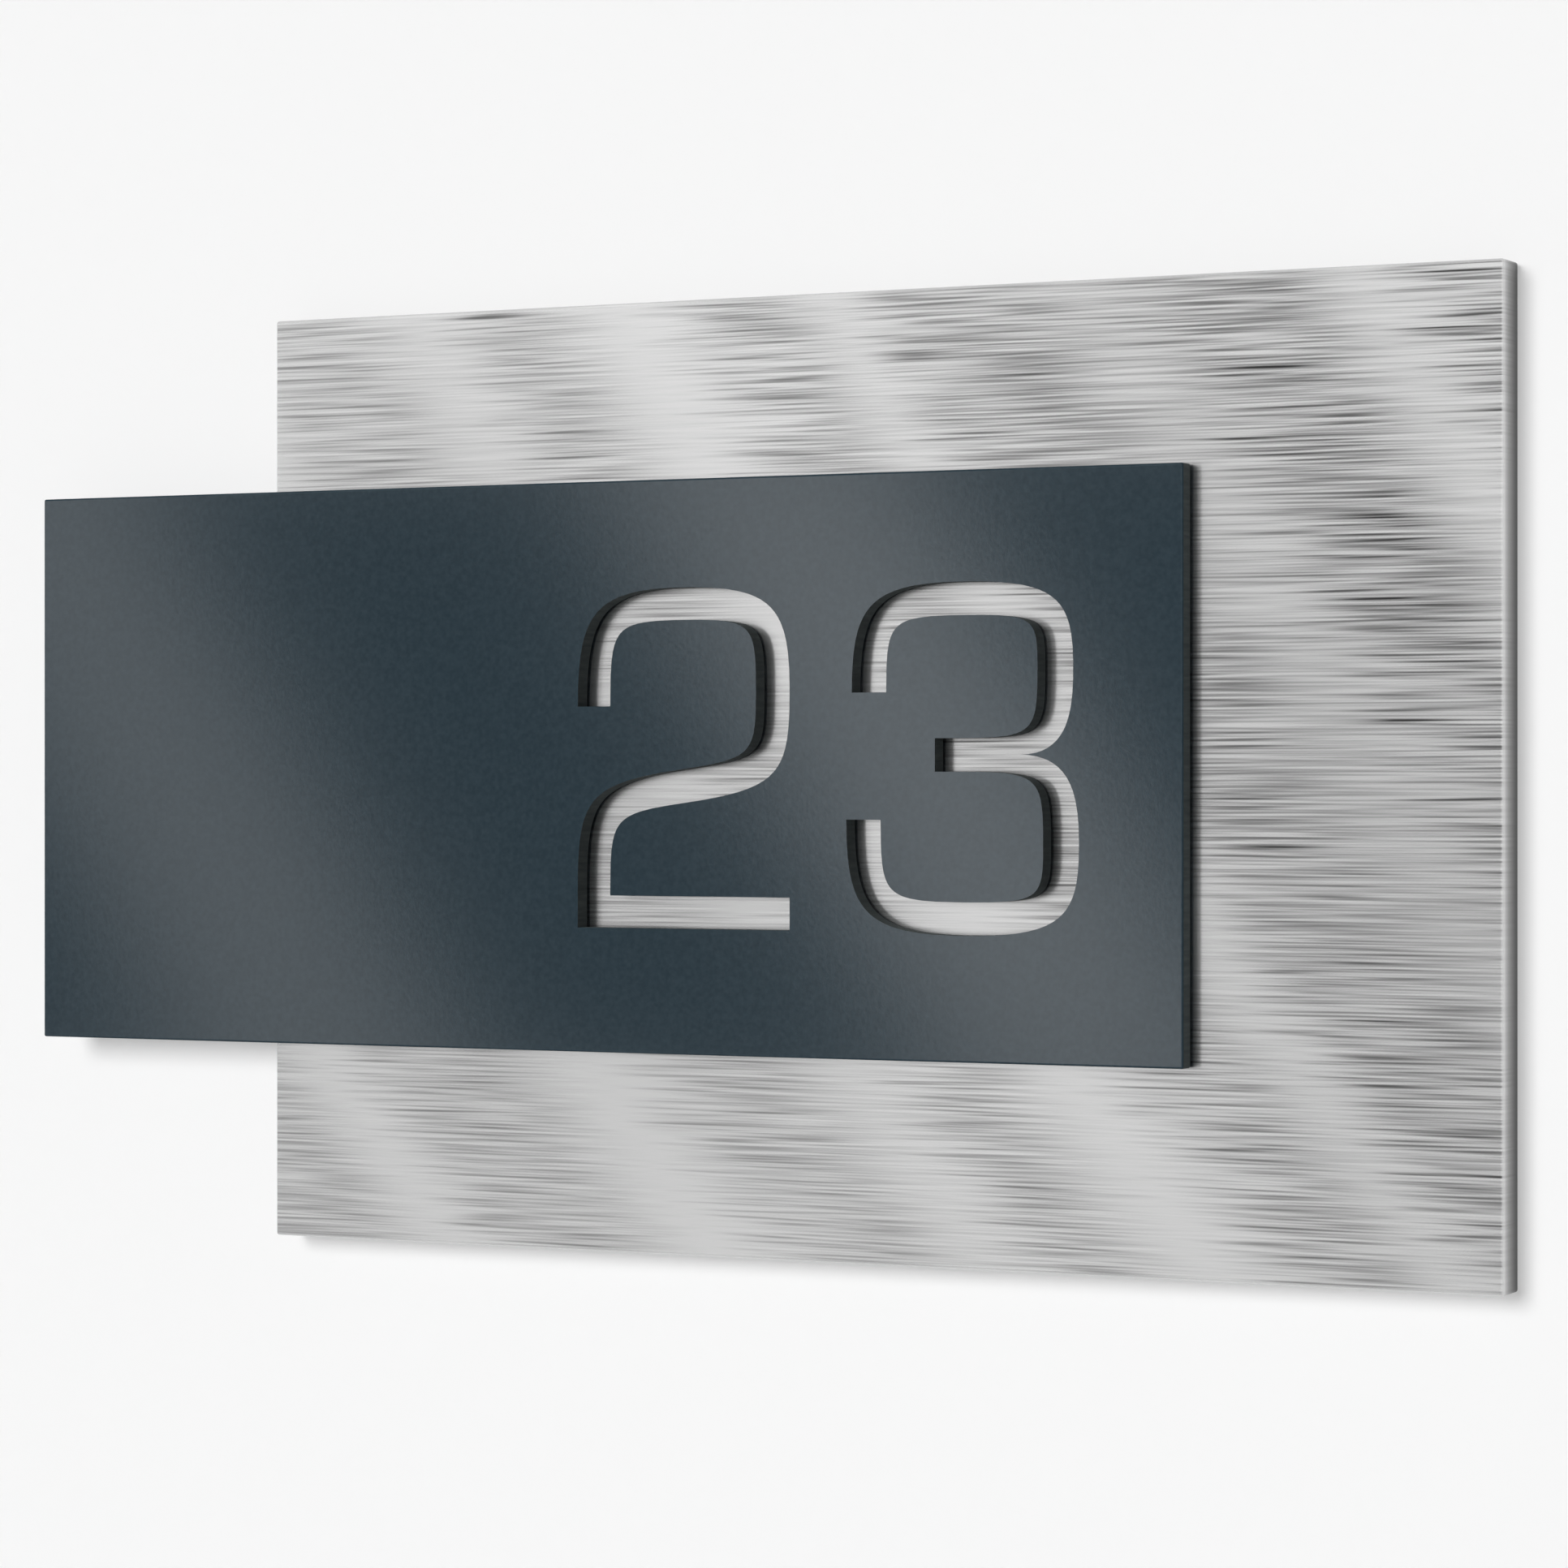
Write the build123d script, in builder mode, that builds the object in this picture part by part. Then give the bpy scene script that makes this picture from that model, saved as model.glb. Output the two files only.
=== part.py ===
from build123d import *
from math import radians, sqrt, tan
import os

# House number plaque for a wall: a shallow brushed steel tray, open to the wall, carries a coated
# front plate whose numerals are cut right through, so that the steel shows in them.
# X runs to the right, Z up and Y into the wall. The origin is the tray's middle on the wall.

# Wall tray, folded from sheet over a scored line, which leaves tight folds
tray_width = 280.0
tray_height = 200.0
tray_depth = 9.0
sheet = 1.5
fold_radius = 0.6
rim_radius = 0.6

# Front plate
plate_width = 274.0
plate_height = 120.0
plate_thickness = 4.0
plate_edge = 0.4
plate_inset = 64.5      # from the tray's right edge to the plate's right edge
plate_lift = 2.3        # of the plate's middle above the tray's middle

# Numerals, each drawn from its lower left corner
numeral_right = 22.4    # from the plate's right edge
numeral_top = 22.6      # from the plate's top edge
numeral_gap = 13.0
numeral_height = 71.2
stem = 7.8              # width of an upright stroke
bar = 6.8               # width of a level stroke
dip = 0.55              # of a round foot below the line that a flat foot stands on

# How far each bend keeps to its corner, along the upright stroke and along the level one
outer_pull = (0.78, 0.86)
inner_pull = (0.93, 0.97)
notch_pull = (0.47, 0.94)
waist_pull = (0.86, 0.92)

two_width = 50.0
two_hook = 46.5         # height of the hook's end
two_bowl = 49.5         # height where the bowl is widest
two_waist = 26.2        # height of the sloping stroke's underside at the middle
two_waist_bar = 7.1
two_slope = 0.13
two_foot = 8.0          # height where the left side starts to bend

three_width = 51.8
three_step = 1.25       # the upper lobe is narrower by this on each side
three_waist = 36.1      # height of the middle bar's middle
three_bar_left = 20.0
three_notch = 12.95     # depth of the notch between the lobes
three_upper_hook = 48.9
three_lower_hook = 22.9

# Weld studs on the rear of the front plate, with the rings, washers and nuts that hold it
stud_edge = 16.0        # from the edges of the area where the plates lie on each other
stud_diameter = 4.0
stud_length = 8.0
stud_flange = 5.5
flange_thickness = 0.8
flange_clearance = 0.5  # round the flange in the tray's hole
ring_diameter = 12.0
ring_thickness = 0.6
washer_diameter = 12.0
washer_hole = 4.3
washer_thickness = 1.0
nut_flats = 7.0
nut_height = 3.2
nut_chamfer_angle = 30.0
thread_clearance = 0.05

# Weld studs in the tray, which go into the wall
wall_stud_inset = 25.0  # from the tray's edges
wall_stud_diameter = 5.0
wall_stud_length = 40.0
wall_stud_flange = 6.5
thread_lead = 0.5       # bevel at the end of every stud

# Places that follow from the sizes
tray_front = -tray_depth
tray_floor = tray_front + sheet
plate_rear = tray_front - ring_thickness
plate_right = tray_width / 2 - plate_inset
plate_middle = plate_right - plate_width / 2
overlap_width = plate_right + tray_width / 2
overlap_middle = plate_right - overlap_width / 2
stud_span = (overlap_width - 2 * stud_edge, plate_height - 2 * stud_edge)
wall_stud_span = (tray_width - 2 * wall_stud_inset, tray_height - 2 * wall_stud_inset)
flange_hole_radius = stud_flange / 2 + flange_clearance
three_left = plate_right - numeral_right - three_width
two_left = three_left - numeral_gap - two_width
baseline = plate_lift + plate_height / 2 - numeral_top - numeral_height


def facing_out(x, y, z):
    """Plane that faces away from the wall, as the plaque is read."""
    return Plane(origin=(x, y, z), x_dir=(1, 0, 0), z_dir=(0, -1, 0))


def facing_wall(x, y, z):
    """Plane that faces the wall."""
    return Plane(origin=(x, y, z), x_dir=(1, 0, 0), z_dir=(0, 1, 0))


def bend(upright, level, pull, slope=0.0):
    """Curve from an upright stroke to a level one, pulled to the corner where they would meet."""
    start = Vector(*upright)
    end = Vector(*level)
    corner = Vector(start.X, end.Y + slope * (start.X - end.X))
    return Bezier(start, start + (corner - start) * pull[0], end + (corner - end) * pull[1], end)


def draw_two():
    """Outline of the 2: hook, bowl, sloping waist and flat foot."""
    middle = two_width / 2
    bowl_inside = two_width - stem
    roof = numeral_height - bar
    under_waist = (middle, two_waist)
    over_waist = (middle, two_waist + two_waist_bar)
    bend((0, two_hook), (middle, numeral_height), outer_pull)
    bend((two_width, two_bowl), (middle, numeral_height), outer_pull)
    bend((two_width, two_bowl), under_waist, waist_pull, two_slope)
    bend((stem, two_foot), under_waist, inner_pull, two_slope)
    Polyline((stem, two_foot), (stem, bar), (two_width, bar), (two_width, 0), (0, 0), (0, two_foot))
    bend((0, two_foot), over_waist, waist_pull, two_slope)
    bend((bowl_inside, two_bowl), over_waist, inner_pull, two_slope)
    bend((bowl_inside, two_bowl), (middle, roof), inner_pull)
    bend((stem, two_hook), (middle, roof), inner_pull)
    Line((stem, two_hook), (0, two_hook))


def draw_three():
    """Outline of the 3: two lobes with a notch between them, a short middle bar and two hooks."""
    middle = three_width / 2
    upper_right = three_width - three_step
    upper_height = (three_waist + numeral_height) / 2
    lower_height = (three_waist - dip) / 2
    roof = numeral_height - bar
    floor = bar - dip
    notch = (three_width - three_notch, three_waist)
    bar_top = three_waist + bar / 2
    bar_bottom = three_waist - bar / 2
    bend((three_step, three_upper_hook), (middle, numeral_height), outer_pull)
    bend((upper_right, upper_height), (middle, numeral_height), outer_pull)
    bend((upper_right, upper_height), notch, notch_pull)
    bend((three_width, lower_height), notch, notch_pull)
    bend((three_width, lower_height), (middle, -dip), outer_pull)
    bend((0, three_lower_hook), (middle, -dip), outer_pull)
    Line((0, three_lower_hook), (stem, three_lower_hook))
    bend((stem, three_lower_hook), (middle, floor), inner_pull)
    bend((three_width - stem, lower_height), (middle, floor), inner_pull)
    bend((three_width - stem, lower_height), (middle, bar_bottom), inner_pull)
    Polyline((middle, bar_bottom), (three_bar_left, bar_bottom), (three_bar_left, bar_top), (middle, bar_top))
    bend((upper_right - stem, upper_height), (middle, bar_top), inner_pull)
    bend((upper_right - stem, upper_height), (middle, roof), inner_pull)
    bend((three_step + stem, three_upper_hook), (middle, roof), inner_pull)
    Line((three_step + stem, three_upper_hook), (three_step, three_upper_hook))


# The tray is a box that is hollow from the wall side, with holes for the front plate's studs
with BuildPart() as back_plate:
    with BuildSketch(facing_out(0, 0, 0)):
        Rectangle(tray_width, tray_height)
    extrude(amount=tray_depth)
    corners = back_plate.edges().filter_by(Axis.Y)
    fillet(corners, fold_radius)
    front_edges = back_plate.faces().sort_by(Axis.Y)[0].edges()
    fillet(front_edges, fold_radius)
    rim_edges = back_plate.faces().sort_by(Axis.Y)[-1].edges()
    fillet(rim_edges, rim_radius)
    with BuildSketch(facing_out(0, 0, 0)):
        Rectangle(tray_width - 2 * sheet, tray_height - 2 * sheet)
    extrude(amount=tray_depth - sheet, mode=Mode.SUBTRACT)
    with BuildSketch(facing_out(overlap_middle, tray_floor, plate_lift)):
        with GridLocations(*stud_span, 2, 2):
            Circle(flange_hole_radius)
    extrude(amount=sheet, mode=Mode.SUBTRACT)

# The front plate stands out past the tray's left edge
with BuildPart() as front_plate:
    with BuildSketch(facing_out(plate_middle, plate_rear, plate_lift)):
        Rectangle(plate_width, plate_height)
    extrude(amount=plate_thickness)
    fillet(front_plate.edges(), plate_edge)
    for draw_numeral, left in ((draw_two, two_left), (draw_three, three_left)):
        with BuildSketch(facing_out(left, plate_rear, baseline)):
            with BuildLine():
                draw_numeral()
            make_face()
        extrude(amount=plate_thickness, mode=Mode.SUBTRACT)

# Each stud is a round flange with a shank that ends in a bevel
with BuildPart() as front_studs:
    with BuildSketch(facing_wall(overlap_middle, plate_rear, plate_lift)):
        with GridLocations(*stud_span, 2, 2):
            Circle(stud_flange / 2)
    extrude(amount=flange_thickness)
    with BuildSketch(facing_wall(overlap_middle, plate_rear, plate_lift)):
        with GridLocations(*stud_span, 2, 2):
            Circle(stud_diameter / 2)
    extrude(amount=stud_length)
    chamfer(front_studs.faces().group_by(Axis.Y)[-1].edges(), thread_lead)

with BuildPart() as spacer_rings:
    with BuildSketch(facing_wall(overlap_middle, plate_rear, plate_lift)):
        with GridLocations(*stud_span, 2, 2):
            Circle(ring_diameter / 2)
            Circle(flange_hole_radius, mode=Mode.SUBTRACT)
    extrude(amount=ring_thickness)

with BuildPart() as stud_washers:
    with BuildSketch(facing_wall(overlap_middle, tray_floor, plate_lift)):
        with GridLocations(*stud_span, 2, 2):
            Circle(washer_diameter / 2)
            Circle(washer_hole / 2, mode=Mode.SUBTRACT)
    extrude(amount=washer_thickness)

# One hexagon nut, its corners turned off at both ends, and then the four on the studs
with BuildPart() as nut:
    with BuildSketch():
        RegularPolygon(nut_flats / 2, 6, major_radius=False)
        Circle(stud_diameter / 2 + thread_clearance, mode=Mode.SUBTRACT)
    extrude(amount=nut_height)
    with BuildSketch(Plane.XZ):
        nut_corner = nut_flats / sqrt(3)
        turned_off = (nut_corner - nut_flats / 2) * tan(radians(nut_chamfer_angle))
        with BuildLine():
            Polyline(
                (0, 0),
                (nut_flats / 2, 0),
                (nut_corner, turned_off),
                (nut_corner, nut_height - turned_off),
                (nut_flats / 2, nut_height),
                (0, nut_height),
                close=True,
            )
        make_face()
    revolve(axis=Axis.Z, mode=Mode.INTERSECT)

with BuildPart(facing_wall(overlap_middle, tray_floor + washer_thickness, plate_lift)) as stud_nuts:
    with GridLocations(*stud_span, 2, 2):
        add(nut.part)

with BuildPart() as wall_studs:
    with BuildSketch(facing_wall(0, tray_floor, 0)):
        with GridLocations(*wall_stud_span, 2, 2):
            Circle(wall_stud_flange / 2)
    extrude(amount=flange_thickness)
    with BuildSketch(facing_wall(0, tray_floor, 0)):
        with GridLocations(*wall_stud_span, 2, 2):
            Circle(wall_stud_diameter / 2)
    extrude(amount=wall_stud_length)
    chamfer(wall_studs.faces().group_by(Axis.Y)[-1].edges(), thread_lead)

pieces = {
    "back_plate": back_plate,
    "front_plate": front_plate,
    "front_studs": front_studs,
    "spacer_rings": spacer_rings,
    "stud_washers": stud_washers,
    "stud_nuts": stud_nuts,
    "wall_studs": wall_studs,
}
os.makedirs("parts", exist_ok=True)
for name, piece in pieces.items():
    piece.part.label = name
    export_step(piece.part, f"parts/{name}.step")
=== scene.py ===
from math import cos, pi, radians, sin
import bpy
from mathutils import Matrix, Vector


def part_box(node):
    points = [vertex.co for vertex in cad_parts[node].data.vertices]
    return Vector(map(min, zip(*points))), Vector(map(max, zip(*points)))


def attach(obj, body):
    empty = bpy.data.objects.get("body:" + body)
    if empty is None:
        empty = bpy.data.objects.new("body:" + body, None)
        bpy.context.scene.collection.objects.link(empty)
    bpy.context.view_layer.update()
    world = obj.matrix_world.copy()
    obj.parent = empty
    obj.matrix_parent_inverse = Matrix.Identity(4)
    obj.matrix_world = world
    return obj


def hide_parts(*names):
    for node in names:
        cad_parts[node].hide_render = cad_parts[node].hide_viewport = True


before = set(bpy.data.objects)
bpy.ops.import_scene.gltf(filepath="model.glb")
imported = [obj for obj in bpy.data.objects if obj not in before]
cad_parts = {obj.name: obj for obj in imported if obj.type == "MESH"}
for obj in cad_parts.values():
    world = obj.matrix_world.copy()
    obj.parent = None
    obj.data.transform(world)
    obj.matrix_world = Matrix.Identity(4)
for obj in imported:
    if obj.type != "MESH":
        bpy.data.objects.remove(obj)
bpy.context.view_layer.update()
scene = bpy.context.scene
scene.view_settings.view_transform = "Standard"

mm = 0.001


def linear(hex_colour):
    """Linear colour with alpha from an sRGB hex value such as 2b383f."""
    channels = [int(hex_colour[i:i + 2], 16) / 255 for i in (0, 2, 4)]
    return tuple(c / 12.92 if c <= 0.04045 else ((c + 0.055) / 1.055) ** 2.4 for c in channels) + (1.0,)


def add_node(tree, kind, sockets=None, **settings):
    """Adds a node with its settings; sockets maps an input to a value or to the output that feeds it."""
    made = tree.nodes.new(kind)
    for name, value in settings.items():
        setattr(made, name, value)
    for key, value in (sockets or {}).items():
        if isinstance(value, bpy.types.NodeSocket):
            tree.links.new(value, made.inputs[key])
        else:
            made.inputs[key].default_value = value
    return made


def new_material(name):
    """Empty node material and its tree."""
    material = bpy.data.materials.new(name)
    material.use_nodes = True
    material.node_tree.nodes.clear()
    return material, material.node_tree


# Stainless sheet, brushed along X with an abrasive belt: pale metal with level grey scratches of uneven
# length, and paler slanting bands where the belt's passes lap and the scratches are shallow. The belt
# runs off at the folds, which stay bright. The folded sides are hardly brushed, and painted shade darkens
# them towards the wall, in place of the wall's contact shadow that they would mirror. The inside of the
# tray is nearly as it was rolled. The scratches are drawn a few times coarser than a real belt leaves
# them, because those would be too fine to show.
scratch_layers = (
    # length, width, finer detail, and the part of the noise that counts as a scratch
    (36 * mm, 0.75 * mm, 1.0, 0.34, 0.73),
    (25 * mm, 0.42 * mm, 0.0, 0.29, 0.74),
)
laps = (
    # place along X at mid height, half the width, and the share of the scratches that is missing
    (-170 * mm, 19 * mm, 0.87),
    (-105 * mm, 27 * mm, 1.0),
    (-42 * mm, 22 * mm, 0.68),
    (8 * mm, 29 * mm, 0.9),
    (57 * mm, 17 * mm, 0.7),
    (115 * mm, 22 * mm, 0.46),
    (172 * mm, 20 * mm, 0.7),
)
noise_slice = 8.0                       # one in which the scratches are evenly strong
lap_reach = 200 * mm                    # to each side, for all the laps
lap_lean = 0.68                         # step to the left for each step up
lap_curve = -0.7                        # bend of that line for each metre of height
lap_fray = 30 * mm                      # how far the scratches run on into a lap
pressure_place = (-75 * mm, 150 * mm)   # the belt bears harder towards the right, between these
pressure_share = (0.72, 1.2)
groove_power = 1.3                      # most scratches are shallow and a few are deep
inside_turn = (0.3, 0.6)                # how far a face looks at the wall, from side to inside
inside_share = 0.35                     # of the scratches, on those faces
face_turn = (0.8, 0.995)                # how far a face looks forwards or backwards, from fold to flat
fold_share = 0.3                        # of the scratches, on the folds and sides
side_turn = 0.75                        # up to this a face is a side, and then less until it is flat
painted_shade_place = (-8.3 * mm, -1 * mm)       # along the depth of the sides
painted_shade_power = 0.5                        # the painted shade rises fast behind the fold, then slowly
scratch_depth = 0.01 * mm
scratch_bump = 0.2
steel_roughness = (0.25, 0.27)
steel_anisotropy = 0.2
across_scratches = (0.0, 0.02, 1.0)     # upwards, with a little depth for the level faces
# the last colour is painted shade, which darkens the folded sides towards the wall
steel_pale, steel_scratch, steel_painted_shade = "d8d8d8", "383838", "1c1c1c"


def brushed_stainless():
    material, tree = new_material("brushed_stainless_sheet")
    place = add_node(tree, "ShaderNodeTexCoord")
    at = add_node(tree, "ShaderNodeSeparateXYZ", {0: place.outputs["Object"]})
    facing = add_node(tree, "ShaderNodeSeparateXYZ", {0: place.outputs["Normal"]})
    level = add_node(tree, "ShaderNodeMath", {0: facing.outputs["Z"]}, operation="ABSOLUTE")
    # across the scratches is up the upright faces and along the depth of the level ones
    across = add_node(
        tree,
        "ShaderNodeMix",
        {"Factor": level.outputs[0], "A": at.outputs["Z"], "B": at.outputs["Y"]},
    )
    grain = add_node(
        tree,
        "ShaderNodeCombineXYZ",
        {"X": at.outputs["X"], "Y": across.outputs[0], "Z": noise_slice},
    )
    noises, depths = [], []
    for length, width, detail, shallow, deep in scratch_layers:
        stretched = add_node(
            tree,
            "ShaderNodeVectorMath",
            {0: grain.outputs[0], 1: (1 / length, 1 / width, 1.0)},
            operation="MULTIPLY",
        )
        noise = add_node(
            tree,
            "ShaderNodeTexNoise",
            {"Vector": stretched.outputs[0], "Scale": 1.0, "Detail": detail},
        )
        depth = add_node(
            tree,
            "ShaderNodeMapRange",
            {"Value": noise.outputs[0], "From Min": shallow, "From Max": deep},
        )
        noises.append(noise.outputs[0])
        depths.append(depth.outputs[0])
    # half of each layer
    scratch = add_node(tree, "ShaderNodeMix", {"Factor": 0.5, "A": depths[0], "B": depths[1]})
    grooves = add_node(
        tree,
        "ShaderNodeMath",
        {0: scratch.outputs[0], 1: groove_power},
        operation="POWER",
    )
    # the laps follow bent slanting lines, frayed by the longer scratches
    lean = add_node(
        tree,
        "ShaderNodeVectorMath",
        {0: place.outputs["Object"], 1: (1.0, 0.0, lap_lean)},
        operation="DOT_PRODUCT",
    )
    square = add_node(
        tree,
        "ShaderNodeMath",
        {0: at.outputs["Z"], 1: at.outputs["Z"]},
        operation="MULTIPLY",
    )
    bent = add_node(
        tree,
        "ShaderNodeMath",
        {0: square.outputs[0], 1: lap_curve, 2: lean.outputs["Value"]},
        operation="MULTIPLY_ADD",
    )
    frayed = add_node(
        tree,
        "ShaderNodeMath",
        {0: noises[0], 1: lap_fray, 2: bent.outputs[0]},
        operation="MULTIPLY_ADD",
    )
    along = add_node(
        tree,
        "ShaderNodeMapRange",
        {
            "Value": frayed.outputs[0],
            "From Min": lap_fray / 2 - lap_reach,
            "From Max": lap_fray / 2 + lap_reach,
        },
    )
    lap = add_node(tree, "ShaderNodeValToRGB", {"Fac": along.outputs[0]})
    lap.color_ramp.interpolation = "EASE"
    stops = lap.color_ramp.elements
    # no lap at either end of the ramp
    stops[1].color = stops[0].color
    for middle, half, missing in laps:
        for spot, value in ((middle - half, 0.0), (middle, missing), (middle + half, 0.0)):
            stops.new((spot + lap_reach) / (2 * lap_reach)).color = (value, value, value, 1.0)
    kept = add_node(tree, "ShaderNodeMath", {0: 1.0, 1: lap.outputs["Color"]}, operation="SUBTRACT")
    pressure = add_node(
        tree,
        "ShaderNodeMapRange",
        {
            "Value": bent.outputs[0],
            "From Min": pressure_place[0],
            "From Max": pressure_place[1],
            "To Min": pressure_share[0],
            "To Max": pressure_share[1],
        },
    )
    outside = add_node(
        tree,
        "ShaderNodeMapRange",
        {
            "Value": facing.outputs["Y"],
            "From Min": inside_turn[0],
            "From Max": inside_turn[1],
            "To Min": 1.0,
            "To Max": inside_share,
        },
    )
    turned = add_node(tree, "ShaderNodeMath", {0: facing.outputs["Y"]}, operation="ABSOLUTE")
    on_face = add_node(
        tree,
        "ShaderNodeMapRange",
        {
            "Value": turned.outputs[0],
            "From Min": face_turn[0],
            "From Max": face_turn[1],
            "To Min": fold_share,
            "To Max": 1.0,
        },
    )
    reached = add_node(
        tree,
        "ShaderNodeMath",
        {0: outside.outputs[0], 1: on_face.outputs[0]},
        operation="MULTIPLY",
    )
    worked = add_node(
        tree,
        "ShaderNodeMath",
        {0: pressure.outputs[0], 1: reached.outputs[0]},
        operation="MULTIPLY",
    )
    strength = add_node(
        tree,
        "ShaderNodeMath",
        {0: worked.outputs[0], 1: kept.outputs[0]},
        operation="MULTIPLY",
    )
    cut = add_node(
        tree,
        "ShaderNodeMath",
        {0: grooves.outputs[0], 1: strength.outputs[0]},
        operation="MULTIPLY",
    )
    brushed = add_node(
        tree,
        "ShaderNodeMix",
        {"Factor": cut.outputs[0], "A": linear(steel_pale), "B": linear(steel_scratch)},
        data_type="RGBA",
    )
    # painted shade: the sides darken towards the wall, in place of the wall's contact shadow that they
    # mirror
    side = add_node(
        tree,
        "ShaderNodeMapRange",
        {"Value": turned.outputs[0], "From Min": side_turn, "To Min": 1.0, "To Max": 0.0},
    )
    rear = add_node(
        tree,
        "ShaderNodeMapRange",
        {"Value": at.outputs["Y"], "From Min": painted_shade_place[0], "From Max": painted_shade_place[1]},
    )
    rising = add_node(tree, "ShaderNodeMath", {0: rear.outputs[0], 1: painted_shade_power}, operation="POWER")
    painted_shade = add_node(
        tree,
        "ShaderNodeMath",
        {0: side.outputs[0], 1: rising.outputs[0]},
        operation="MULTIPLY",
    )
    colour = add_node(
        tree,
        "ShaderNodeMix",
        {"Factor": painted_shade.outputs[0], "A": brushed.outputs["Result"], "B": linear(steel_painted_shade)},
        data_type="RGBA",
    )
    rough = add_node(
        tree,
        "ShaderNodeMapRange",
        {"Value": cut.outputs[0], "To Min": steel_roughness[0], "To Max": steel_roughness[1]},
    )
    bump = add_node(
        tree,
        "ShaderNodeBump",
        {"Height": cut.outputs[0], "Strength": scratch_bump, "Distance": scratch_depth},
        invert=True,
    )
    # the reflection is spread across the scratches; the shader's socket for this takes only a link
    spread = add_node(tree, "ShaderNodeCombineXYZ", dict(zip("XYZ", across_scratches)))
    steel = add_node(
        tree,
        "ShaderNodeBsdfPrincipled",
        {
            "Base Color": colour.outputs["Result"],
            "Metallic": 1.0,
            "Roughness": rough.outputs[0],
            "Anisotropic": steel_anisotropy,
            "Normal": bump.outputs[0],
            "Tangent": spread.outputs[0],
        },
    )
    add_node(tree, "ShaderNodeOutputMaterial", {"Surface": steel.outputs[0]})
    return material


# Polyester powder coat, baked on: a satin anthracite skin with a fine even orange peel and faint flecks.
# The edges and the cut sides take less of it and are matt, and the lines that the cutting left across the
# sides show a little. The cut sides are greyer for the thin coat, and they are also painted lighter than
# the face. That is painted light, which makes up for the shade they stand in. Flecks and lines are drawn
# coarser than they are, because they would be too fine to show.
peel_size = 0.9 * mm
peel_depth = 0.01 * mm
peel_bump = 0.3
fleck_size = 1.1 * mm
fleck_range = (0.25, 0.75)              # the part of the noise that counts
cut_line_width = 0.7 * mm
cut_line_length = 8 * mm
coat_dark, coat_light = "233139", "2b3941"
# cut side colours: greyer for the thin coat, and painted lighter as painted light against their shade
painted_lit_cut_dark, painted_lit_cut_pale = "3d4343", "5e6666"
coat_flat_turn = (0.985, 0.9995)        # how far a face looks forwards or backwards, from edge to flat
coat_side_turn = (0.1, 0.5)             # and from cut side to edge
satin_roughness = (0.09, 0.125)
matt_roughness = 0.7
matt_gloss, satin_gloss = 0.15, 0.5
coat_ior = 1.56


def powder_coat():
    material, tree = new_material("anthracite_powder_coat")
    place = add_node(tree, "ShaderNodeTexCoord")
    peel = add_node(
        tree,
        "ShaderNodeTexNoise",
        {"Vector": place.outputs["Object"], "Scale": 1 / peel_size, "Detail": 1.0},
    )
    fleck = add_node(
        tree,
        "ShaderNodeTexNoise",
        {"Vector": place.outputs["Object"], "Scale": 1 / fleck_size, "Detail": 1.0},
    )
    tone = add_node(
        tree,
        "ShaderNodeMapRange",
        {"Value": fleck.outputs[0], "From Min": fleck_range[0], "From Max": fleck_range[1]},
    )
    facing = add_node(tree, "ShaderNodeSeparateXYZ", {0: place.outputs["Normal"]})
    turned = add_node(tree, "ShaderNodeMath", {0: facing.outputs["Y"]}, operation="ABSOLUTE")
    flat = add_node(
        tree,
        "ShaderNodeMapRange",
        {"Value": turned.outputs[0], "From Min": coat_flat_turn[0], "From Max": coat_flat_turn[1]},
        interpolation_type="SMOOTHSTEP",
    )
    side = add_node(
        tree,
        "ShaderNodeMapRange",
        {
            "Value": turned.outputs[0],
            "From Min": coat_side_turn[0],
            "From Max": coat_side_turn[1],
            "To Min": 1.0,
            "To Max": 0.0,
        },
    )
    face_colour = add_node(
        tree,
        "ShaderNodeMix",
        {"Factor": tone.outputs[0], "A": linear(coat_dark), "B": linear(coat_light)},
        data_type="RGBA",
    )
    drawn = add_node(
        tree,
        "ShaderNodeVectorMath",
        {0: place.outputs["Object"], 1: (1 / cut_line_width, 1 / cut_line_length, 1 / cut_line_width)},
        operation="MULTIPLY",
    )
    cut_line = add_node(
        tree,
        "ShaderNodeTexNoise",
        {"Vector": drawn.outputs[0], "Scale": 1.0, "Detail": 1.0},
    )
    # painted light: the cut sides get these lighter colours to make up for the shade they stand in
    painted_lit_side_colour = add_node(
        tree,
        "ShaderNodeMix",
        {"Factor": cut_line.outputs[0], "A": linear(painted_lit_cut_dark), "B": linear(painted_lit_cut_pale)},
        data_type="RGBA",
    )
    colour = add_node(
        tree,
        "ShaderNodeMix",
        {
            "Factor": side.outputs[0],
            "A": face_colour.outputs["Result"],
            "B": painted_lit_side_colour.outputs["Result"],
        },
        data_type="RGBA",
    )
    satin = add_node(
        tree,
        "ShaderNodeMapRange",
        {"Value": peel.outputs[0], "To Min": satin_roughness[0], "To Max": satin_roughness[1]},
    )
    rough = add_node(
        tree,
        "ShaderNodeMix",
        {"Factor": flat.outputs[0], "A": matt_roughness, "B": satin.outputs[0]},
    )
    gloss = add_node(
        tree,
        "ShaderNodeMapRange",
        {"Value": flat.outputs[0], "To Min": matt_gloss, "To Max": satin_gloss},
    )
    bump = add_node(
        tree,
        "ShaderNodeBump",
        {"Height": peel.outputs[0], "Strength": peel_bump, "Distance": peel_depth},
    )
    coat = add_node(
        tree,
        "ShaderNodeBsdfPrincipled",
        {
            "Base Color": colour.outputs["Result"],
            "Roughness": rough.outputs[0],
            "IOR": coat_ior,
            "Specular IOR Level": gloss.outputs[0],
            "Normal": bump.outputs[0],
        },
    )
    add_node(tree, "ShaderNodeOutputMaterial", {"Surface": coat.outputs[0]})
    return material


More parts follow.
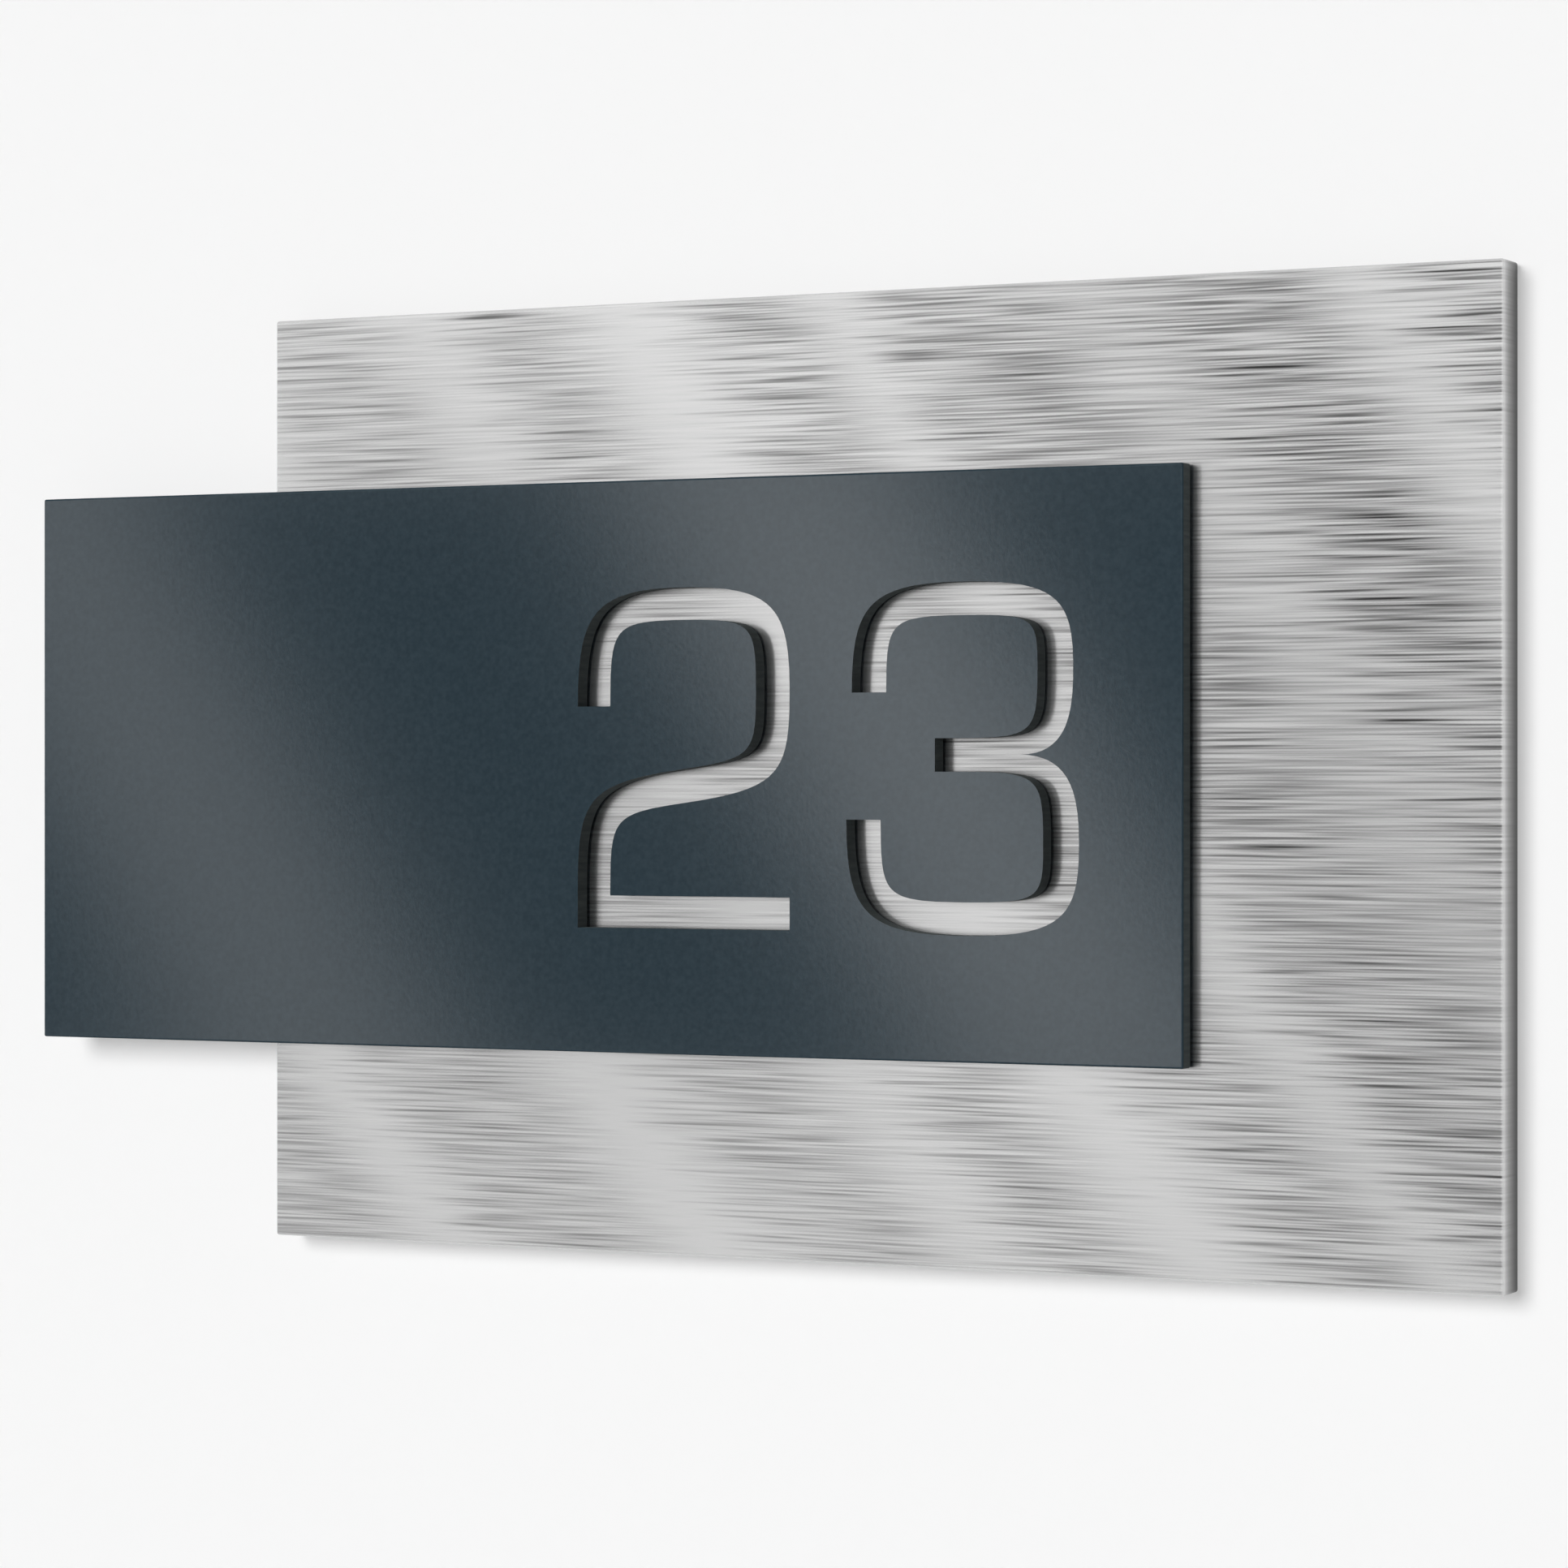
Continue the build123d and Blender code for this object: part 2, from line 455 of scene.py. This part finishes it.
def mottled_material(name, size, detail, colours, roughness, bump, depth, shader):
    """Material whose colour, roughness and height follow one noise; shader holds its plain values."""
    material, tree = new_material(name)
    place = add_node(tree, "ShaderNodeTexCoord")
    mottle = add_node(
        tree,
        "ShaderNodeTexNoise",
        {"Vector": place.outputs["Object"], "Scale": 1 / size, "Detail": detail},
    )
    colour = add_node(
        tree,
        "ShaderNodeMix",
        {"Factor": mottle.outputs[0], "A": linear(colours[0]), "B": linear(colours[1])},
        data_type="RGBA",
    )
    rough = add_node(
        tree,
        "ShaderNodeMapRange",
        {"Value": mottle.outputs[0], "To Min": roughness[0], "To Max": roughness[1]},
    )
    relief = add_node(
        tree,
        "ShaderNodeBump",
        {"Height": mottle.outputs[0], "Strength": bump, "Distance": depth},
    )
    surface = add_node(
        tree,
        "ShaderNodeBsdfPrincipled",
        {
            **shader,
            "Base Color": colour.outputs["Result"],
            "Roughness": rough.outputs[0],
            "Normal": relief.outputs[0],
        },
    )
    add_node(tree, "ShaderNodeOutputMaterial", {"Surface": surface.outputs[0]})
    return material


# Steel rod with a rolled thread: bright and smooth, with paler, duller patches where the die marked it
stud_steel = mottled_material(
    "rolled_stud_steel",
    size=1.4 * mm,
    detail=3.0,
    colours=("b4b2ae", "d2d1ce"),
    roughness=(0.22, 0.42),
    bump=0.2,
    depth=0.02 * mm,
    shader={"Metallic": 1.0},
)

# Pressed stainless nuts and washers: tumbled bright, with soft paler blotches and shallow dents
fixing_steel = mottled_material(
    "tumbled_stainless",
    size=2.2 * mm,
    detail=3.0,
    colours=("bdbdbb", "dadad8"),
    roughness=(0.2, 0.36),
    bump=0.2,
    depth=0.02 * mm,
    shader={"Metallic": 1.0},
)

# Black nylon, punched from sheet: matt, with a faint fine grain
ring_nylon = mottled_material(
    "black_nylon",
    size=0.5 * mm,
    detail=2.0,
    colours=("17181a", "232427"),
    roughness=(0.45, 0.6),
    bump=0.3,
    depth=0.02 * mm,
    shader={"IOR": 1.53},
)

finishes = {
    "back_plate": brushed_stainless(),
    "front_plate": powder_coat(),
    "front_studs": stud_steel,
    "wall_studs": stud_steel,
    "stud_washers": fixing_steel,
    "stud_nuts": fixing_steel,
    "spacer_rings": ring_nylon,
}
for node, finish in finishes.items():
    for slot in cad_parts[node].material_slots:
        slot.material = finish


# A stud is turned about Y: flange, thread and a bevelled tip. The thread's rows follow the helix.
stud_facets = 32
flange_height = 0.8 * mm
flange_corner = 0.1 * mm
tip_bevel = 0.5 * mm
end_relief = 0.02 * mm                  # both ends are thinner than the root and the bevel by this
thread_depth = 0.613                    # of the pitch
# places along the pitch, each with the share of the depth that stands there
thread_form = ((0.0, 1.0), (0.125, 1.0), (0.4375, 0.0), (0.6875, 0.0), (1.0, 1.0))
thread_rows = len(thread_form) - 1      # in each turn
sharp_angle = radians(32)


def thread_height(turn):
    """Share of the thread's depth at a place along the pitch, which is given in turns."""
    turn %= 1.0
    for (start, low), (end, high) in zip(thread_form, thread_form[1:]):
        if turn <= end:
            return low + (high - low) * (turn - start) / (end - start)


def add_stud(points, faces, x, z, base, tip, radius, flange_radius, pitch):
    """Adds one closed stud to a mesh's points and faces."""
    root = radius - thread_depth * pitch
    end_radius = min(root, radius - tip_bevel) - end_relief
    start = base + flange_height

    def ring(y, r):
        first = len(points)
        for i in range(stud_facets):
            angle = 2 * pi * i / stud_facets
            points.append((x + r * cos(angle), y, z + r * sin(angle)))
        return [first + i for i in range(stud_facets)]

    def join(low, high):
        for i in range(stud_facets):
            j = (i + 1) % stud_facets
            faces.append((low[i], high[i], high[j], low[j]))

    foot = ring(base, flange_radius)
    side = ring(start - flange_corner, flange_radius)
    shoulder = ring(start, flange_radius - flange_corner)
    neck = ring(start, end_radius)
    crown = ring(tip, end_radius)
    faces.append(tuple(foot))
    join(foot, side)
    join(side, shoulder)
    join(shoulder, neck)
    faces.append(tuple(reversed(crown)))

    made = {}

    def thread_point(row, i):
        row += thread_rows * (i // stud_facets)
        i %= stud_facets
        turn = row // thread_rows + thread_form[row % thread_rows][0]
        y = start + pitch * (turn + i / stud_facets)
        if y <= start:
            return neck[i]
        if y >= tip:
            return crown[i]
        if (row, i) not in made:
            angle = 2 * pi * i / stud_facets
            room = min(end_radius + (y - start), end_radius + (tip - y))
            r = min(root + (radius - root) * thread_height(turn), room)
            made[row, i] = len(points)
            points.append((x + r * cos(angle), y, z + r * sin(angle)))
        return made[row, i]

    for row in range(-thread_rows, thread_rows * int((tip - start) / pitch + 2)):
        for i in range(stud_facets):
            near = thread_point(row, i), thread_point(row + 1, i)
            far = thread_point(row + 1, i + 1), thread_point(row, i + 1)
            corners = tuple(dict.fromkeys(near + far))
            if len(corners) > 2:
                faces.append(corners)


def threaded_studs(name, node, radius, flange_radius, pitch):
    """Four studs with real threads in place of a node's plain ones."""
    low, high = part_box(node)
    points, faces = [], []
    for x in (low[0] + flange_radius, high[0] - flange_radius):
        for z in (low[2] + flange_radius, high[2] - flange_radius):
            add_stud(points, faces, x, z, low[1], high[1], radius, flange_radius, pitch)
    mesh = bpy.data.meshes.new(name)
    mesh.from_pydata(points, [], faces)
    mesh.validate()
    mesh.shade_smooth()
    mesh.set_sharp_from_angle(angle=sharp_angle)
    piece = bpy.data.objects.new(name, mesh)
    scene.collection.objects.link(piece)
    mesh.materials.append(stud_steel)
    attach(piece, "root")
    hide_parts(node)


threaded_studs(
    "threaded_front_studs", "front_studs", radius=2.0 * mm, flange_radius=2.75 * mm, pitch=0.7 * mm
)
threaded_studs(
    "threaded_wall_studs", "wall_studs", radius=2.5 * mm, flange_radius=3.25 * mm, pitch=0.8 * mm
)


# The studio: a wall, a floor and a screen of light strips
wall_gap = 1.0 * mm                     # behind the tray's rim, which leaves its thin dark line
wall_opening = 3 * mm                   # the wall is open behind the tray, inside its rim by this
wall_reach, floor_reach = 4.0, 30.0
floor_drop = 0.55
wall_plain, floor_plain = 0.4, 0.85     # share of each that is seen as plain background


def stage_mesh(name, points, faces, material):
    """A flat piece of the studio."""
    mesh = bpy.data.meshes.new(name)
    mesh.from_pydata(points, [], faces)
    mesh.materials.append(material)
    thing = bpy.data.objects.new(name, mesh)
    scene.collection.objects.link(thing)
    return thing


def rectangle(left, right, low, high):
    """Corners of a rectangle, counter-clockwise."""
    return [(left, low), (right, low), (right, high), (left, high)]


def seen_directly(tree):
    """1 where the camera, a reflection or a view through something looks, 0 for light."""
    ray = add_node(tree, "ShaderNodeLightPath")
    mirrored = add_node(
        tree,
        "ShaderNodeMath",
        {0: ray.outputs["Is Glossy Ray"], 1: ray.outputs["Is Transmission Ray"]},
        operation="MAXIMUM",
    )
    seen = add_node(
        tree,
        "ShaderNodeMath",
        {0: ray.outputs["Is Camera Ray"], 1: mirrored.outputs[0]},
        operation="MAXIMUM",
    )
    return seen.outputs[0]


# Matt white wall paint: a share of it is seen as plain background, and the rest by the light on it. From
# behind the wall can't be seen, so that the plaque's rear shows.
def wall_paint():
    material, tree = new_material("white_wall_paint")
    geometry = add_node(tree, "ShaderNodeNewGeometry")
    paint = add_node(tree, "ShaderNodeBsdfDiffuse", {"Color": linear("f3f3f3")})
    plain = add_node(tree, "ShaderNodeEmission", {"Color": linear("f8f8f8")})
    share = add_node(
        tree,
        "ShaderNodeMath",
        {0: seen_directly(tree), 1: wall_plain},
        operation="MULTIPLY",
    )
    front = add_node(
        tree,
        "ShaderNodeMixShader",
        {0: share.outputs[0], 1: paint.outputs[0], 2: plain.outputs[0]},
    )
    clear = add_node(tree, "ShaderNodeBsdfTransparent")
    both = add_node(
        tree,
        "ShaderNodeMixShader",
        {0: geometry.outputs["Backfacing"], 1: front.outputs[0], 2: clear.outputs[0]},
    )
    add_node(tree, "ShaderNodeOutputMaterial", {"Surface": both.outputs[0]})
    return material


# Matt pale floor paint, which the camera and reflections see lighter than it is lit
def floor_paint():
    material, tree = new_material("pale_floor_paint")
    paint = add_node(tree, "ShaderNodeBsdfDiffuse", {"Color": linear("b0b0b0")})
    plain = add_node(tree, "ShaderNodeEmission", {"Color": linear("fafafa")})
    share = add_node(
        tree,
        "ShaderNodeMath",
        {0: seen_directly(tree), 1: floor_plain},
        operation="MULTIPLY",
    )
    both = add_node(
        tree,
        "ShaderNodeMixShader",
        {0: share.outputs[0], 1: paint.outputs[0], 2: plain.outputs[0]},
    )
    add_node(tree, "ShaderNodeOutputMaterial", {"Surface": both.outputs[0]})
    return material


tray_low, tray_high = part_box("back_plate")
wall_outside = rectangle(-wall_reach, wall_reach, -floor_drop, wall_reach)
wall_inside = rectangle(
    tray_low[0] + wall_opening,
    tray_high[0] - wall_opening,
    tray_low[2] + wall_opening,
    tray_high[2] - wall_opening,
)
wall = stage_mesh(
    "wall",
    [(x, wall_gap, z) for x, z in wall_outside + wall_inside],
    [(0, 1, 5, 4), (1, 2, 6, 5), (2, 3, 7, 6), (3, 0, 4, 7)],
    wall_paint(),
)
# it keeps no light from the plaque's rear
wall.visible_shadow = False
floor_corners = rectangle(-floor_reach, floor_reach, -floor_reach, floor_reach)
stage_mesh("floor", [(x, y, -floor_drop) for x, y in floor_corners], [(0, 1, 2, 3)], floor_paint())

# A screen of slanting soft light strips stands in front. It lights nothing, but the coat shows it as two
# soft bands. Above, below and to the right of the strips it is plain. All its places are in metres.
screen_distance = 3.0
screen_half_width, screen_half_height = 5.0, 3.5
strip_spacing = 821 * mm                # from middle to middle, along X
strip_shift = -1382 * mm                # place of one strip's middle along X, at mid height
strip_lean = 0.646                      # step to the left for each step up
strip_edge = -0.35                      # of the wave across the strips, where the light starts to rise
strip_glow = (0.03, 2.25)               # between the strips and in their middle
screen_fades = {
    # axis, where the change starts and ends, and the share of the light before and after it
    "strips_left": ("X", -2.21, -1.39, 0.7, 1.0),
    "strips_low": ("Z", -0.29, 0.0, 0.86, 1.0),
    "plain_high": ("Z", -0.1, 0.41, 1.02, 1.14),
    "plain_left": ("X", -2.11, -1.29, 1.15, 1.0),
}
strips_middle = 0.015                   # height of the strips' middle
strips_end = (0.29, 0.35)               # above and below it they run out
strips_right_end = (-0.65, -0.42)       # and here to the right, measured across their slant


def strip_screen():
    material, tree = new_material("light_strips")
    place = add_node(tree, "ShaderNodeTexCoord")
    at = add_node(tree, "ShaderNodeSeparateXYZ", {0: place.outputs["Object"]})
    lean = add_node(
        tree,
        "ShaderNodeVectorMath",
        {0: place.outputs["Object"], 1: (1.0, 0.0, strip_lean)},
        operation="DOT_PRODUCT",
    )
    # a quarter of a wave puts its crest on a strip's middle
    shifted = add_node(
        tree,
        "ShaderNodeMath",
        {0: lean.outputs["Value"], 1: strip_spacing / 4 - strip_shift},
        operation="ADD",
    )
    phase = add_node(
        tree,
        "ShaderNodeMath",
        {0: shifted.outputs[0], 1: 2 * pi / strip_spacing},
        operation="MULTIPLY",
    )
    wave = add_node(tree, "ShaderNodeMath", {0: phase.outputs[0]}, operation="SINE")
    glow = add_node(
        tree,
        "ShaderNodeMapRange",
        {
            "Value": wave.outputs[0],
            "From Min": strip_edge,
            "From Max": 1.0,
            "To Min": strip_glow[0],
            "To Max": strip_glow[1],
        },
        interpolation_type="SMOOTHSTEP",
    )
    fades = {}
    for fade, (axis, start, end, before, after) in screen_fades.items():
        share = add_node(
            tree,
            "ShaderNodeMapRange",
            {
                "Value": at.outputs[axis],
                "From Min": start,
                "From Max": end,
                "To Min": before,
                "To Max": after,
            },
        )
        fades[fade] = share.outputs[0]
    dimmed = add_node(
        tree,
        "ShaderNodeMath",
        {0: fades["strips_left"], 1: fades["strips_low"]},
        operation="MULTIPLY",
    )
    strips = add_node(
        tree,
        "ShaderNodeMath",
        {0: glow.outputs[0], 1: dimmed.outputs[0]},
        operation="MULTIPLY",
    )
    plain = add_node(
        tree,
        "ShaderNodeMath",
        {0: fades["plain_high"], 1: fades["plain_left"]},
        operation="MULTIPLY",
    )
    off_middle = add_node(
        tree,
        "ShaderNodeMath",
        {0: at.outputs["Z"], 1: strips_middle},
        operation="SUBTRACT",
    )
    height = add_node(tree, "ShaderNodeMath", {0: off_middle.outputs[0]}, operation="ABSOLUTE")
    past_end = add_node(
        tree,
        "ShaderNodeMapRange",
        {"Value": height.outputs[0], "From Min": strips_end[0], "From Max": strips_end[1]},
        interpolation_type="SMOOTHSTEP",
    )
    past_right = add_node(
        tree,
        "ShaderNodeMapRange",
        {
            "Value": lean.outputs["Value"],
            "From Min": strips_right_end[0],
            "From Max": strips_right_end[1],
        },
        interpolation_type="SMOOTHSTEP",
    )
    calm = add_node(
        tree,
        "ShaderNodeMath",
        {0: past_end.outputs[0], 1: past_right.outputs[0]},
        operation="MAXIMUM",
    )
    strength = add_node(
        tree,
        "ShaderNodeMix",
        {"Factor": calm.outputs[0], "A": strips.outputs[0], "B": plain.outputs[0]},
    )
    light = add_node(
        tree,
        "ShaderNodeEmission",
        {"Color": linear("ffffff"), "Strength": strength.outputs[0]},
    )
    add_node(tree, "ShaderNodeOutputMaterial", {"Surface": light.outputs[0]})
    # it isn't sampled as a lamp
    material.cycles.emission_sampling = "NONE"
    return material


screen_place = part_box("front_plate")[0][1] - screen_distance
screen_corners = rectangle(-screen_half_width, screen_half_width, -screen_half_height, screen_half_height)
screen = stage_mesh(
    "light_screen", [(x, screen_place, z) for x, z in screen_corners], [(3, 2, 1, 0)], strip_screen()
)
screen.visible_camera = False
screen.visible_diffuse = False
screen.visible_transmission = False
screen.visible_shadow = False

# Soft light through a large window, from in front, above and a little to the left. Reflections don't show
# it. The strength is what a white face turned to it shows.
window_strength = 0.94
window_spread = radians(28)
window_direction = (-0.17, -0.95, 0.25)
window_light = bpy.data.lights.new("window_light", "SUN")
window_light.energy = window_strength * pi
window_light.angle = window_spread
window = bpy.data.objects.new("window_light", window_light)
window.rotation_euler = Vector(window_direction).to_track_quat("Z", "Y").to_euler()
window.visible_glossy = False
scene.collection.objects.link(window)

# The room: weak plain light, with more from behind for the plaque's rear. The camera and reflections see
# it as nearly white.
room_glow = (0.03, 0.9)
room_seen = 0.94
world = bpy.data.worlds.new("room")
scene.world = world
world.use_nodes = True
room = world.node_tree
room.nodes.clear()
heading = add_node(room, "ShaderNodeTexCoord")
toward = add_node(room, "ShaderNodeSeparateXYZ", {0: heading.outputs["Generated"]})
room_light = add_node(
    room,
    "ShaderNodeMapRange",
    {"Value": toward.outputs["Y"], "To Min": room_glow[0], "To Max": room_glow[1]},
)
shown = add_node(
    room,
    "ShaderNodeMix",
    {"Factor": seen_directly(room), "A": room_light.outputs[0], "B": room_seen},
)
sky = add_node(room, "ShaderNodeBackground", {"Color": linear("ffffff"), "Strength": shown.outputs[0]})
add_node(room, "ShaderNodeOutputWorld", {"Surface": sky.outputs[0]})

# The camera looks from the right, at the plaque's own height
camera_sensor, camera_lens = 36.0, 110.17
camera_place = (434.24 * mm, -895.594 * mm, -1.295 * mm)
camera_turn = (radians(90), 0.0, radians(26.8881))
camera_clip = (0.01, 50.0)
camera_data = bpy.data.cameras.new("camera")
camera_data.sensor_width = camera_sensor
camera_data.lens = camera_lens
camera_data.clip_start, camera_data.clip_end = camera_clip
camera = bpy.data.objects.new("camera", camera_data)
camera.location = camera_place
camera.rotation_euler = camera_turn
scene.collection.objects.link(camera)
scene.camera = camera
